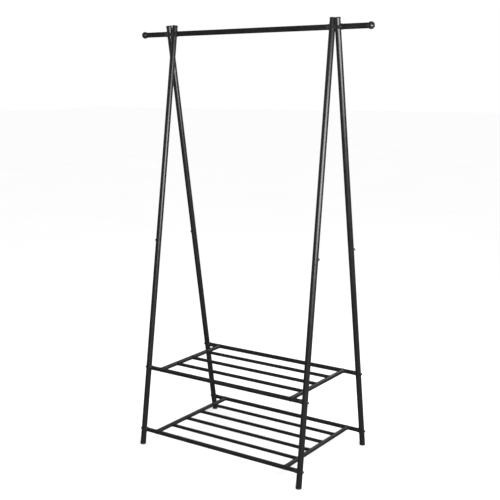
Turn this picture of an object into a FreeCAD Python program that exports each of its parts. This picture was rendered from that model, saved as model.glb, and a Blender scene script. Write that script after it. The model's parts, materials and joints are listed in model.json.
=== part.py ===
import FreeCAD, Part
import math
import os

# Free-standing A-frame garment rail with two slatted shelves, in millimetres.
# +X runs along the hanging rail to the right, +Y to the back, +Z up.
# The origin is on the floor, in the middle of the four feet.
# Sides are -1 left and 1 right; ends are -1 front and 1 back.

os.makedirs("parts", exist_ok=True)
Vector = FreeCAD.Vector

# ---- overall sizes
overall_length = 950.0          # over the two end balls
overall_depth = 460.0           # over the foot caps
overall_height = 1510.0         # floor to the highest edge of the leg caps
rail_below_top = 31.0           # hanging rail axis below the overall height

# ---- legs: each is two tubes, the lower one swaged into the upper one
leg_tube_od = 20.0
leg_tube_wall = 1.2
leg_x_floor = 338.0             # leg axis from the middle, where it meets the floor
crossing_x = 335.0              # middle of the crossed pair, at the hanging rail
crossing_gap = 1.0              # clear gap between the two crossed tubes
seam_height = 726.0             # where the upper tube rests on the lower one
spigot_length = 60.0
spigot_clearance = 0.05
swage_length = 5.0              # over which the bore narrows below the seam
tube_edge_chamfer = 0.4

# ---- leg caps and foot caps
cap_lip_overhang = 0.3
cap_lip_thickness = 1.8
cap_lip_chamfer = 0.7
cap_plug_length = 14.0
cap_plug_wall = 1.6
cap_clearance = 0.1             # moulded plugs to the tubes
foot_base_thickness = 3.0       # least thickness under the tube
foot_edge_radius = 1.5

# ---- hanging rail, end stubs and balls
rail_tube_od = 18.0
rail_tube_wall = 1.2
ball_diameter = 24.0
ball_neck_diameter = 15.0
ball_neck_length = 0.8
ball_plug_length = 16.0
rail_spacer_crest = 6.0         # spacer thickness at the crest of the leg
stud_diameter = 8.0
crossing_saddle_diameter = 18.0

# ---- shelves
upper_shelf_height = 283.0
lower_shelf_height = 56.0
shelf_tube_od = 15.0
shelf_tube_wall = 1.0
cross_tube_x = 278.0            # cross tube axis from the middle
slat_od = 12.0
slat_wall = 0.8
upper_slat_count = 3
lower_slat_count = 4
shelf_spacer_crest = 7.0
weld_gap = 0.02                 # fit-up of a cross tube's saddle end to its rail

# ---- fasteners and inserts
spacer_lip = 0.8                # spacer radius over the tube it seats on
spacer_spigot_length = 3.0
insert_length = 18.0
thread_engagement = 12.0
thread_clearance = 0.05
hole_clearance = 0.3            # radial, screw or stud to a drilled hole
seat_gap = 0.08                 # lets a flat head clear the slight lean of the leg
shelf_screw_diameter = 6.0
shelf_screw_head = 10.5
shelf_screw_head_height = 3.3
shelf_screw_socket = 4.0
joint_screw_diameter = 6.0
joint_screw_head = 10.5
joint_screw_head_height = 3.3
joint_screw_socket = 4.0
joint_screw_above_seam = 20.0
joint_nut_diameter = 10.0
joint_nut_thickness = 4.0
head_crown_share = 0.22         # flat crown radius over the head's diameter
head_bulge_share = 0.22         # how far the dome bulges out, over the head's height
head_bulge_height = 0.62        # where it bulges, over the head's height
socket_depth_share = 0.65       # socket depth over the head's height
screw_tip_share = 0.1           # tip chamfer over the screw's diameter

# ---- cutters
overrun = 50.0                  # how far a cutting bar runs past what it cuts

# ---- worked out
leg_radius = leg_tube_od / 2
leg_bore = leg_radius - leg_tube_wall
rail_radius = rail_tube_od / 2
rail_bore = rail_radius - rail_tube_wall
shelf_radius = shelf_tube_od / 2
shelf_bore = shelf_radius - shelf_tube_wall
ball_radius = ball_diameter / 2
foot_cap_radius = leg_radius + cap_lip_overhang
rail_height = overall_height - rail_below_top
foot_y = overall_depth / 2 - foot_cap_radius
crossing_half_spacing = (leg_tube_od + crossing_gap) / 2
ball_x = overall_length / 2 - ball_radius

AXIS_X = Vector(1, 0, 0)
AXIS_Z = Vector(0, 0, 1)
SIDES = {"left": -1, "right": 1}
ENDS = {"front": -1, "back": 1}


# ---------------------------------------------------------------- helpers
def save(name, shape):
    """Write one named node."""
    shape.exportStep(os.path.join("parts", name + ".step"))


def save_group(name, solids):
    """Write one node that holds several separate solids."""
    save(name, Part.makeCompound(solids))


def cylinder(start, end, radius):
    """Solid round bar between two points."""
    run = end - start
    return Part.makeCylinder(radius, run.Length, start, run)


def tube(start, end, outer, bore):
    """Round tube between two points."""
    return cylinder(start, end, outer).cut(cylinder(start, end, bore))


def placed(shape, base, direction):
    """Turn a shape's +Z to a direction and move its origin to base."""
    shape.Placement = FreeCAD.Placement(base, FreeCAD.Rotation(AXIS_Z, direction))
    return shape


def turned(outline, base, direction):
    """Solid of revolution from closed (radius, distance along the axis) points."""
    points = [Vector(radius, 0, along) for radius, along in outline]
    face = Part.Face(Part.makePolygon(points + points[:1]))
    return placed(face.revolve(Vector(0, 0, 0), AXIS_Z, 360), base, direction)


# ---------------------------------------------------------------- leg axes
def leg_axis(side, end):
    """Floor point and unit direction of a leg: front legs pass inside the back ones."""
    foot = Vector(side * leg_x_floor, end * foot_y, 0)
    crossing = Vector(side * (crossing_x + end * crossing_half_spacing), 0, rail_height)
    return foot, (crossing - foot).normalize()


def leg_point(side, end, height):
    """Point on the leg axis at a height above the floor."""
    foot, direction = leg_axis(side, end)
    return foot + direction * (height / direction.z)


def leg_envelope(side, end):
    """Solid bar of the leg's outside, longer than the leg at both ends."""
    foot, direction = leg_axis(side, end)
    top = foot + direction * (overall_height + overrun)
    return cylinder(foot - direction * overrun, top, leg_radius)


def leg_end_distance(side, end):
    """Distance along the axis to the tube's top end, so that the cap meets the height."""
    rise = leg_axis(side, end)[1].z
    lip_radius = leg_radius + cap_lip_overhang
    tilt_rise = (lip_radius - cap_lip_chamfer) * math.sqrt(1 - rise * rise)
    return (overall_height - cap_lip_thickness * rise - tilt_rise) / rise


def tube_start_distance(side, end):
    """Distance along the axis to the lower tube's end, clear of the foot cap's base."""
    rise = leg_axis(side, end)[1].z
    return (foot_base_thickness + leg_radius * math.sqrt(1 - rise * rise)) / rise


def outward_normal(side, end):
    """Unit direction square to the leg, pointing away from the middle along X."""
    direction = leg_axis(side, end)[1]
    outward = AXIS_X * side
    return (outward - direction * outward.dot(direction)).normalize()


def cross_hole(side, end, height, radius):
    """Cutter along X through both walls of a leg at a height."""
    centre = leg_point(side, end, height)
    reach = AXIS_X * leg_tube_od
    return cylinder(centre - reach, centre + reach, radius)


# ---------------------------------------------------------------- fasteners
def button_screw(seat, inward, sizes, length):
    """Button-head screw with a hex socket; the head's flat face lies at seat."""
    diameter, head, head_height, socket = sizes
    crown = head * head_crown_share
    bulge_radius = (head / 2 + crown) / 2 + head_height * head_bulge_share
    bulge = Vector(bulge_radius, 0, -head_height * head_bulge_height)
    rim = Vector(head / 2, 0, 0)
    top = Vector(crown, 0, -head_height)
    tip_chamfer = diameter * screw_tip_share
    shank = diameter / 2 - thread_clearance
    corners = [top, Vector(0, 0, -head_height), Vector(0, 0, length),
               Vector(shank - tip_chamfer, 0, length),
               Vector(shank, 0, length - tip_chamfer), Vector(shank, 0, 0), rim]
    edges = [Part.makeLine(a, b) for a, b in zip(corners, corners[1:])]
    edges.append(Part.Arc(rim, bulge, top).toShape())
    solid = Part.Face(Part.Wire(edges)).revolve(Vector(0, 0, 0), AXIS_Z, 360)
    corner = socket / math.sqrt(3)
    angles = [math.radians(60 * k) for k in range(6)]
    hexagon = [Vector(corner * math.cos(a), corner * math.sin(a), -overrun) for a in angles]
    recess = Part.Face(Part.makePolygon(hexagon + hexagon[:1]))
    socket_floor = -head_height * (1 - socket_depth_share)
    recess = recess.extrude(Vector(0, 0, overrun + socket_floor))
    return placed(solid.cut(recess), seat, inward)


shelf_screw_sizes = (shelf_screw_diameter, shelf_screw_head,
                     shelf_screw_head_height, shelf_screw_socket)
joint_screw_sizes = (joint_screw_diameter, joint_screw_head,
                     joint_screw_head_height, joint_screw_socket)


def threaded_insert(mouth, inward, outer, thread):
    """Plug with a threaded hole, fixed in a tube's end; mouth is its outer face."""
    return tube(mouth, mouth + inward * insert_length, outer, thread / 2)


def saddle_spacer(tube_end, towards, leg, radii, bore):
    """Moulded spacer from a tube's end to a leg: a spigot, a collar and a saddle face."""
    tube_radius, tube_bore = radii
    leg_centre = leg_point(*leg, tube_end.z)
    collar = cylinder(tube_end, leg_centre, tube_radius + spacer_lip)
    plug = cylinder(tube_end - towards * spacer_spigot_length, tube_end, tube_bore - cap_clearance)
    hole = cylinder(tube_end - towards * leg_tube_od, tube_end + towards * leg_tube_od, bore)
    return collar.fuse(plug).cut(leg_envelope(*leg)).cut(hole).removeSplitter()


# ---------------------------------------------------------------- legs
def upper_leg(side, end):
    """Upper tube, with the stud hole at the rail and the screw hole above the seam."""
    foot, direction = leg_axis(side, end)
    seam = seam_height / direction.z
    top = leg_end_distance(side, end)
    edge = tube_edge_chamfer
    outline = [(leg_bore, seam), (leg_radius - edge, seam), (leg_radius, seam + edge),
               (leg_radius, top - edge), (leg_radius - edge, top), (leg_bore, top)]
    solid = turned(outline, foot, direction)
    solid = solid.cut(cross_hole(side, end, rail_height, stud_diameter / 2 + hole_clearance))
    return solid.cut(joint_screw_hole(side, end))


def lower_leg(side, end):
    """Lower tube with its swaged spigot, and the two shelf screw holes."""
    foot, direction = leg_axis(side, end)
    start = tube_start_distance(side, end)
    seam = seam_height / direction.z
    edge = tube_edge_chamfer
    spigot = leg_bore - spigot_clearance
    spigot_bore = spigot - leg_tube_wall
    tip = seam + spigot_length
    outline = [(leg_bore, start), (leg_radius, start), (leg_radius, seam - edge),
               (leg_radius - edge, seam), (spigot, seam), (spigot, tip - edge),
               (spigot - edge, tip), (spigot_bore, tip),
               (spigot_bore, seam - leg_tube_wall), (leg_bore, seam - swage_length)]
    solid = turned(outline, foot, direction)
    for height in (upper_shelf_height, lower_shelf_height):
        radius = shelf_screw_diameter / 2 + hole_clearance
        solid = solid.cut(cross_hole(side, end, height, radius))
    return solid.cut(joint_screw_hole(side, end))


def joint_screw_point(side, end):
    """Point on the leg axis at the joint screw."""
    foot, direction = leg_axis(side, end)
    return foot + direction * (seam_height / direction.z + joint_screw_above_seam)


def joint_screw_hole(side, end):
    """Cutter for the joint screw, through the outer side only."""
    centre = joint_screw_point(side, end)
    radius = joint_screw_diameter / 2 + hole_clearance
    return cylinder(centre, centre + outward_normal(side, end) * leg_tube_od, radius)


def joint_nut(side, end):
    """Round nut inside the spigot, its outer face curved to the spigot's wall."""
    centre = joint_screw_point(side, end)
    outward = outward_normal(side, end)
    direction = leg_axis(side, end)[1]
    wall = leg_bore - spigot_clearance - leg_tube_wall
    reach = math.sqrt(wall ** 2 - (joint_nut_diameter / 2) ** 2)
    start = centre + outward * (reach - joint_nut_thickness)
    body = cylinder(start, centre + outward * leg_radius, joint_nut_diameter / 2)
    inside = cylinder(centre - direction * leg_tube_od, centre + direction * leg_tube_od, wall)
    hole = cylinder(centre - outward * leg_radius, centre + outward * leg_tube_od,
                    joint_screw_diameter / 2)
    return body.common(inside).cut(hole)


def joint_screw(side, end):
    """Screw that holds the upper tube on the spigot."""
    outward = outward_normal(side, end)
    seat = joint_screw_point(side, end) + outward * leg_radius
    wall = leg_bore - spigot_clearance - leg_tube_wall
    reach = math.sqrt(wall ** 2 - (joint_nut_diameter / 2) ** 2)
    length = leg_radius - reach + joint_nut_thickness
    return button_screw(seat, outward * -1, joint_screw_sizes, length)


def leg_top_cap(side, end):
    """Plug cap in the leg's top end, hollow below its lip."""
    foot, direction = leg_axis(side, end)
    top = leg_end_distance(side, end)
    lip = leg_radius + cap_lip_overhang
    plug = leg_bore - cap_clearance
    hollow = plug - cap_plug_wall
    face = top + cap_lip_thickness
    outline = [(0, face), (lip - cap_lip_chamfer, face), (lip, face - cap_lip_chamfer),
               (lip, top), (plug, top), (plug, top - cap_plug_length),
               (hollow, top - cap_plug_length), (hollow, top - cap_plug_wall),
               (0, top - cap_plug_wall)]
    return turned(outline, foot, direction)


def foot_cap(side, end):
    """Moulded plug-in foot: a base under the tube, level underneath, and a plug inside the tube."""
    foot, direction = leg_axis(side, end)
    start = tube_start_distance(side, end)
    plug = leg_bore - cap_clearance
    hollow = plug - cap_plug_wall
    outline = [(0, -leg_radius), (foot_cap_radius, -leg_radius), (foot_cap_radius, start),
               (plug, start), (plug, start + cap_plug_length),
               (hollow, start + cap_plug_length), (hollow, start), (0, start)]
    solid = turned(outline, foot, direction)
    corner = foot - Vector(overrun, overrun, overrun)
    below_floor = Part.makeBox(2 * overrun, 2 * overrun, overrun, corner)
    solid = solid.cut(below_floor)
    rim = [line for line in solid.Edges if line.BoundBox.ZMax < 0.01]
    return solid.makeFillet(foot_edge_radius, rim)


# ---------------------------------------------------------------- hanging rail
def rail_end_x():
    """Where the hanging rail's tube ends, inside the front leg."""
    return crossing_x - crossing_half_spacing - leg_radius - rail_spacer_crest


def stub_start_x():
    """Where an end stub's tube starts, outside the back leg."""
    return crossing_x + crossing_half_spacing + leg_radius + rail_spacer_crest


def stub_end_x():
    """Where an end stub's tube stops, at the ball's neck."""
    neck_seat = math.sqrt(ball_radius ** 2 - (ball_neck_diameter / 2) ** 2)
    return ball_x - neck_seat - ball_neck_length


def rail_point(x):
    """Point on the hanging rail's axis."""
    return Vector(x, 0, rail_height)


def end_ball(side):
    """Ball finial with a narrow neck and a plug in the stub."""
    outward = AXIS_X * side
    centre = rail_point(side * ball_x)
    stub_end = rail_point(side * stub_end_x())
    neck = cylinder(stub_end, centre, ball_neck_diameter / 2)
    plug = cylinder(stub_end - outward * ball_plug_length, centre, rail_bore - cap_clearance)
    ball = Part.makeSphere(ball_radius, centre)
    return ball.fuse(neck).fuse(plug).removeSplitter()


def crossing_saddle(side):
    """Moulded spacer between the crossed legs, hollowed to both tubes."""
    near = rail_point(side * (crossing_x - crossing_half_spacing))
    far = rail_point(side * (crossing_x + crossing_half_spacing))
    body = cylinder(near, far, crossing_saddle_diameter / 2)
    for end in ENDS.values():
        body = body.cut(leg_envelope(side, end))
    hole = cylinder(near, far, stud_diameter / 2 + hole_clearance)
    pieces = body.cut(hole).Solids
    middle = side * crossing_x
    return min(pieces, key=lambda piece: abs(piece.CenterOfMass.x - middle))


def build_legs():
    """Legs, their caps and the screws that join the tubes."""
    joint_screws = []
    joint_nuts = []
    for end_name, end in ENDS.items():
        for side_name, side in SIDES.items():
            place = end_name + "_" + side_name
            save("upper_leg_" + place, upper_leg(side, end))
            save("lower_leg_" + place, lower_leg(side, end))
            save("leg_top_cap_" + place, leg_top_cap(side, end))
            save("foot_cap_" + place, foot_cap(side, end))
            joint_screws.append(joint_screw(side, end))
            joint_nuts.append(joint_nut(side, end))
    save_group("leg_joint_screws", joint_screws)
    save_group("leg_joint_nuts", joint_nuts)


def build_hanging_rail():
    """Rail, end stubs and balls, clamped through the crossed legs by a stud each side."""
    rail_end = rail_end_x()
    stub_start = stub_start_x()
    recess = spacer_spigot_length
    radii = (rail_radius, rail_bore)
    stud_hole = stud_diameter / 2 + hole_clearance
    save("hanging_rail", tube(rail_point(-rail_end), rail_point(rail_end), rail_radius, rail_bore))
    inner_spacers, outer_spacers, saddles, studs, rail_inserts, stub_inserts = [], [], [], [], [], []
    for side_name, side in SIDES.items():
        outward = AXIS_X * side
        inner = rail_point(side * rail_end)
        outer = rail_point(side * stub_start)
        stub_end = rail_point(side * stub_end_x())
        save("end_stub_" + side_name, tube(outer, stub_end, rail_radius, rail_bore))
        save("end_ball_" + side_name, end_ball(side))
        inner_spacers.append(saddle_spacer(inner, outward, (side, -1), radii, stud_hole))
        outer_spacers.append(saddle_spacer(outer, outward * -1, (side, 1), radii, stud_hole))
        saddles.append(crossing_saddle(side))
        rail_inserts.append(threaded_insert(inner - outward * recess, outward * -1,
                                            rail_bore, stud_diameter))
        stub_inserts.append(threaded_insert(outer + outward * recess, outward,
                                            rail_bore, stud_diameter))
        grip = recess + thread_engagement
        studs.append(cylinder(inner - outward * grip, outer + outward * grip,
                              stud_diameter / 2 - thread_clearance))
    save_group("rail_inner_spacers", inner_spacers)
    save_group("rail_outer_spacers", outer_spacers)
    save_group("crossing_saddles", saddles)
    save_group("rail_threaded_inserts", rail_inserts)
    save_group("stub_threaded_inserts", stub_inserts)
    save_group("crossing_studs", studs)


# ---------------------------------------------------------------- shelves
def shelf_corner(side, end, height):
    """End of a shelf rail's tube, one spacer away from the leg."""
    axis_point = leg_point(side, end, height)
    return axis_point - AXIS_X * (side * (leg_radius + shelf_spacer_crest))


def shelf_rail_cutter(end, height):
    """Bar of a shelf rail's outside and the weld gap, to cut the saddle ends with."""
    left, right = shelf_corner(-1, end, height), shelf_corner(1, end, height)
    return cylinder(left, right, shelf_radius + weld_gap)


def cross_tube_ends(side, height):
    """Points of a cross tube on the front and back rail axes."""
    return [Vector(side * cross_tube_x, leg_point(side, end, height).y, height)
            for end in ENDS.values()]


def build_shelf(name, height, slat_count):
    """One shelf: two rails between the legs, two cross tubes, slats and their fasteners."""
    spacers, inserts, screws = [], [], []
    radii = (shelf_radius, shelf_bore)
    screw_hole = shelf_screw_diameter / 2 + hole_clearance
    for end_name, end in ENDS.items():
        left, right = (shelf_corner(side, end, height) for side in SIDES.values())
        save(name + "_" + end_name + "_rail", tube(left, right, shelf_radius, shelf_bore))
        for side in SIDES.values():
            outward = AXIS_X * side
            corner = shelf_corner(side, end, height)
            mouth = corner - outward * spacer_spigot_length
            seat = leg_point(side, end, height) + outward * (leg_radius + seat_gap)
            tip = mouth - outward * thread_engagement
            spacers.append(saddle_spacer(corner, outward, (side, end), radii, screw_hole))
            inserts.append(threaded_insert(mouth, outward * -1, shelf_bore, shelf_screw_diameter))
            screws.append(button_screw(seat, outward * -1, shelf_screw_sizes, (seat - tip).Length))
    rail_bars = [shelf_rail_cutter(end, height) for end in ENDS.values()]
    cross_bars = []
    for side_name, side in SIDES.items():
        front, back = cross_tube_ends(side, height)
        cross_bars.append(cylinder(front, back, shelf_radius))
        cross = tube(front, back, shelf_radius, shelf_bore)
        for bar in rail_bars:
            cross = cross.cut(bar)
        save(name + "_" + side_name + "_cross_tube", cross)
    front_y = leg_point(1, -1, height).y
    pitch = -2 * front_y / (slat_count + 1)
    for number in range(1, slat_count + 1):
        y = front_y + pitch * number
        slat = tube(Vector(-cross_tube_x, y, height), Vector(cross_tube_x, y, height),
                    slat_od / 2, slat_od / 2 - slat_wall)
        for bar in cross_bars:
            slat = slat.cut(bar)
        save(name + "_slat_" + str(number), slat)
    save_group(name + "_spacers", spacers)
    save_group(name + "_threaded_inserts", inserts)
    save_group(name + "_screws", screws)


build_legs()
build_hanging_rail()
build_shelf("upper_shelf", upper_shelf_height, upper_slat_count)
build_shelf("lower_shelf", lower_shelf_height, lower_slat_count)
print(len(os.listdir("parts")), "nodes; hanging rail axis at", rail_height)
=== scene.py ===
"""Looks of a free-standing A-frame garment rail with two slatted shelves.

Every visible tube, cap, ball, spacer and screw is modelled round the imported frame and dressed
in a procedural finish. The threaded inserts, nuts and studs inside the tubes stay as packed.
"""

import json
import logging
import math
from collections.abc import Callable
from dataclasses import dataclass, field
from enum import Enum
from typing import ClassVar, NamedTuple

import bmesh
import bpy
from mathutils import Matrix, Vector


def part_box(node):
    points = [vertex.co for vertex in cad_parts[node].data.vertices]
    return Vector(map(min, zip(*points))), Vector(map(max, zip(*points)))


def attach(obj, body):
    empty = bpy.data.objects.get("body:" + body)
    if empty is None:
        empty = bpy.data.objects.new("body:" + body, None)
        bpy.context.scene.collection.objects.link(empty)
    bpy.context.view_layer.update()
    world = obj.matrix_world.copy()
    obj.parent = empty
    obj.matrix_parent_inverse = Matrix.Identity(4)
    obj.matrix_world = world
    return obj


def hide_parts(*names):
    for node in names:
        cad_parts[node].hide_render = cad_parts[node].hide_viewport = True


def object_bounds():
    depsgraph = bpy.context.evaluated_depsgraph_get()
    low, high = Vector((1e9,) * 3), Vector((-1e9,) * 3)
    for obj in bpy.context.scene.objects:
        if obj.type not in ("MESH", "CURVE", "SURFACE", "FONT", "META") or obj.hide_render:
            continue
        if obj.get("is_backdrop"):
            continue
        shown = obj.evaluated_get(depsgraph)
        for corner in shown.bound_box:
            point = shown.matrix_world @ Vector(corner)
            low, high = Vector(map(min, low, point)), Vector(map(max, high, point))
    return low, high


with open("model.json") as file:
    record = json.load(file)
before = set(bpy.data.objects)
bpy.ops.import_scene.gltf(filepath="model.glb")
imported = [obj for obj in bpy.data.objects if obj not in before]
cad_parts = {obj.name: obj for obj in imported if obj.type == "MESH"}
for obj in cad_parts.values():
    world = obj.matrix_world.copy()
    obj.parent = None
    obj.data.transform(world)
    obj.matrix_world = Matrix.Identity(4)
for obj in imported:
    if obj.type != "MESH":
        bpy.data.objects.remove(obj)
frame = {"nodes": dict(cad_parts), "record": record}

log = logging.getLogger("garment_rail")

Ring = tuple[float, float]      # radius and distance along the axis, in metres
Colour = tuple[float, float, float]

BODY = "root"
MM = 0.001
WELD_DISTANCE = 1e-6            # vertices closer than this are one vertex
SMOOTH_ANGLE = math.radians(32.0)
ALONG_X = Vector((1.0, 0.0, 0.0))
ALONG_Y = Vector((0.0, 1.0, 0.0))
LEG_RADIUS = 10.0 * MM
OVERRUN = 50.0 * MM             # that a cutting bar runs past a leg
SUPPORT = 1.0 * MM              # from a rounded edge to the ring that keeps a long wall straight


class Side(Enum):
    """Left and right ends of the hanging rail."""

    LEFT = -1
    RIGHT = 1


class End(Enum):
    """Front and back legs of an A-frame."""

    FRONT = -1
    BACK = 1


class Slot(Enum):
    """Material slots of the record."""

    COAT = "black_powder_coat"
    CAP = "cap_plastic"
    FOOT = "foot_rubber"
    BALL = "ball_plastic"
    SPACER = "spacer_plastic"
    SCREW = "black_screw_steel"
    ZINC = "zinc_steel"


# ---------------------------------------------------------------- bench: modelling by hand
def take(piece: bpy.types.Object) -> None:
    """Select one piece alone and make it the active one."""
    bpy.ops.object.select_all(action="DESELECT")
    piece.select_set(True)
    bpy.context.view_layer.objects.active = piece


def pick(piece: bpy.types.Object, test: Callable[[Vector], bool]) -> None:
    """Select, in edit mode, what stands on the vertices whose place passes a test.

    Args:
        piece: the mesh that is being edited.
        test: says whether a vertex at this place is wanted.
    """
    bpy.ops.mesh.select_all(action="DESELECT")
    shape = bmesh.from_edit_mesh(piece.data)
    for vertex in shape.verts:
        vertex.select_set(test(vertex.co))
    shape.select_flush(True)
    bmesh.update_edit_mesh(piece.data)


def rounded(centre: Ring, size: float, first: float, last: float, steps: int = 5) -> list[Ring]:
    """Rings of a rounded edge.

    Args:
        centre: radius and distance along the axis of the arc's centre.
        size: radius of the arc.
        first: angle that it starts at, in degrees; 0 points outwards and 90 along the axis.
        last: angle that it stops at.
        steps: number of rings after the first.

    Returns:
        The rings in order.
    """
    angles = [math.radians(first + (last - first) * step / steps) for step in range(steps + 1)]
    return [(centre[0] + size * math.cos(a), centre[1] + size * math.sin(a)) for a in angles]


def turn(name: str, rings: list[Ring], sides: int, hollow: bool) -> bpy.types.Object:
    """Turn a round piece about Z: a circle is extruded and scaled from ring to ring.

    Args:
        name: name of the piece.
        rings: its outline, ring by ring.
        sides: number of vertices round it.
        hollow: True joins the last ring to the first, False fills both end rings.

    Returns:
        The closed piece, with its axis on Z.
    """
    bpy.ops.object.select_all(action="DESELECT")
    bpy.ops.mesh.primitive_circle_add(vertices=sides, radius=rings[0][0])
    piece = bpy.context.object
    piece.name = piece.data.name = name
    bpy.ops.object.mode_set(mode="EDIT")
    bpy.ops.mesh.select_all(action="SELECT")
    bpy.ops.transform.translate(value=(0.0, 0.0, rings[0][1]))
    if not hollow:
        bpy.ops.mesh.edge_face_add()
        bpy.ops.mesh.select_all(action="SELECT")
    path = rings + rings[:1] if hollow else rings
    for (last_radius, last_along), (radius, along) in zip(path, path[1:]):
        step = {"value": (0.0, 0.0, along - last_along)}
        if hollow or (last_radius, last_along) != rings[0]:
            bpy.ops.mesh.extrude_edges_move(TRANSFORM_OT_translate=step)
        else:
            bpy.ops.mesh.extrude_region_move(TRANSFORM_OT_translate=step)
        ratio = radius / last_radius
        if abs(ratio - 1.0) > WELD_DISTANCE:
            bpy.ops.transform.resize(value=(ratio, ratio, 1.0), center_override=(0.0, 0.0, 0.0))
    bpy.ops.mesh.select_all(action="SELECT")
    bpy.ops.mesh.remove_doubles(threshold=WELD_DISTANCE)
    bpy.ops.mesh.normals_make_consistent(inside=False)
    bpy.ops.object.mode_set(mode="OBJECT")
    return piece


def tube_rings(start: float, stop: float, radius: float, bore: float, edge: float) -> list[Ring]:
    """Outline of a tube with rounded outer edges, for turn() with hollow=True."""
    first = rounded((radius - edge, start + edge), edge, -90.0, 0.0)
    last = rounded((radius - edge, stop - edge), edge, 0.0, 90.0)
    support = [(radius, start + edge + SUPPORT), (radius, stop - edge - SUPPORT)]
    return [(bore, start), *first, *support, *last, (bore, stop)]


def along_axis(start: Vector, direction: Vector) -> Matrix:
    """Place that puts a piece's origin at start and its Z on a direction."""
    return Matrix.Translation(start) @ direction.to_track_quat("Z", "Y").to_matrix().to_4x4()


def settle(piece: bpy.types.Object, place: Matrix) -> bpy.types.Object:
    """Put a piece in its place, with the object left at the origin and the place in its mesh."""
    take(piece)
    piece.matrix_world = place
    bpy.ops.object.transform_apply(location=True, rotation=True, scale=True)
    return piece


def copied(piece: bpy.types.Object, name: str) -> bpy.types.Object:
    """Copy of a piece with a mesh of its own."""
    copy = bpy.data.objects.new(name, piece.data.copy())
    copy.data.name = name
    bpy.context.scene.collection.objects.link(copy)
    return copy


def joined(name: str, parts: list[bpy.types.Object]) -> bpy.types.Object:
    """One piece made of several."""
    take(parts[0])
    for part in parts:
        part.select_set(True)
    bpy.ops.object.join()
    parts[0].name = parts[0].data.name = name
    return parts[0]


def bar(start: Vector, stop: Vector, radius: float, sides: int) -> bpy.types.Object:
    """Round bar between two points, to cut with."""
    middle = (start + stop) / 2
    bpy.ops.object.select_all(action="DESELECT")
    bpy.ops.mesh.primitive_cylinder_add(vertices=sides, radius=radius, depth=(stop - start).length)
    return settle(bpy.context.object, along_axis(middle, stop - start))


def carve(piece: bpy.types.Object, cutter: bpy.types.Object) -> None:
    """Cut a piece with another one, which is used up."""
    take(piece)
    modifier = piece.modifiers.new("cut", "BOOLEAN")
    modifier.operation = "DIFFERENCE"
    modifier.solver = "EXACT"
    modifier.object = cutter
    bpy.ops.object.modifier_apply(modifier=modifier.name)
    bpy.data.objects.remove(cutter)


def hand_over(piece: bpy.types.Object, slot: Slot, coat: bpy.types.Material, *nodes: str) -> None:
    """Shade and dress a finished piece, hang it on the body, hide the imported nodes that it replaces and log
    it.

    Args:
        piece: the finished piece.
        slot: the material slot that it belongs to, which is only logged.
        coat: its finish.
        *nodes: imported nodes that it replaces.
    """
    take(piece)
    bpy.ops.object.shade_smooth_by_angle(angle=SMOOTH_ANGLE)
    piece.data.materials.clear()
    piece.data.materials.append(coat)
    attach(piece, BODY)
    if nodes:
        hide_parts(*nodes)
    log.info("%s: %d faces, %s", piece.name, len(piece.data.polygons), slot.value)


# ---------------------------------------------------------------- finishes
@dataclass
class NodeDesk:
    """Adds and links the nodes of one material or group."""

    tree: bpy.types.NodeTree

    def add(self, kind: str, **settings: object) -> bpy.types.Node:
        """Add a node and set its properties."""
        node = self.tree.nodes.new(kind)
        for name, value in settings.items():
            setattr(node, name, value)
        return node

    def link(self, source: bpy.types.NodeSocket, target: bpy.types.NodeSocket) -> None:
        """Join two sockets."""
        self.tree.links.new(source, target)

    def noise(self, places: bpy.types.NodeSocket, scale: float, detail: float,
              roughness: float = 0.5) -> bpy.types.NodeSocket:
        """Noise over the given places.

        Args:
            places: vector socket that the pattern reads.
            scale: patterns per metre.
            detail: number of finer layers.
            roughness: weight of the finer layers.

        Returns:
            The noise value, from 0 to 1.
        """
        node = self.add("ShaderNodeTexNoise")
        node.inputs["Scale"].default_value = scale
        node.inputs["Detail"].default_value = detail
        node.inputs["Roughness"].default_value = roughness
        self.link(places, node.inputs["Vector"])
        return node.outputs["Fac"]

    def sum(self, operation: str, first: bpy.types.NodeSocket | float,
            second: bpy.types.NodeSocket | float, clamp: bool = False) -> bpy.types.NodeSocket:
        """Math node on two values, each a socket or a number."""
        node = self.add("ShaderNodeMath", operation=operation, use_clamp=clamp)
        for value, target in zip((first, second), node.inputs):
            if isinstance(value, (int, float)):
                target.default_value = value
            else:
                self.link(value, target)
        return node.outputs[0]

    def window(self, value: bpy.types.NodeSocket, low: float, high: float) -> bpy.types.NodeSocket:
        """Value mapped smoothly from low..high to 0..1."""
        node = self.add("ShaderNodeMapRange", interpolation_type="SMOOTHSTEP")
        node.inputs["From Min"].default_value = low
        node.inputs["From Max"].default_value = high
        self.link(value, node.inputs["Value"])
        return node.outputs["Result"]

    def blend(self, share: bpy.types.NodeSocket, first: bpy.types.NodeSocket,
              second: bpy.types.NodeSocket) -> bpy.types.NodeSocket:
        """Colour mixed from first to second by a share."""
        node = self.add("ShaderNodeMix", data_type="RGBA")
        self.link(share, node.inputs["Factor"])
        self.link(first, node.inputs[6])
        self.link(second, node.inputs[7])
        return node.outputs[2]


class OpenGroup(NamedTuple):
    """A new node group and what its maker needs to fill it."""

    tree: bpy.types.NodeTree
    desk: NodeDesk
    given: bpy.types.NodeOutputs        # sockets of the inputs, by name
    out: bpy.types.NodeInputs           # sockets of the outputs, by name
    places: bpy.types.NodeSocket        # object coordinates


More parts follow.
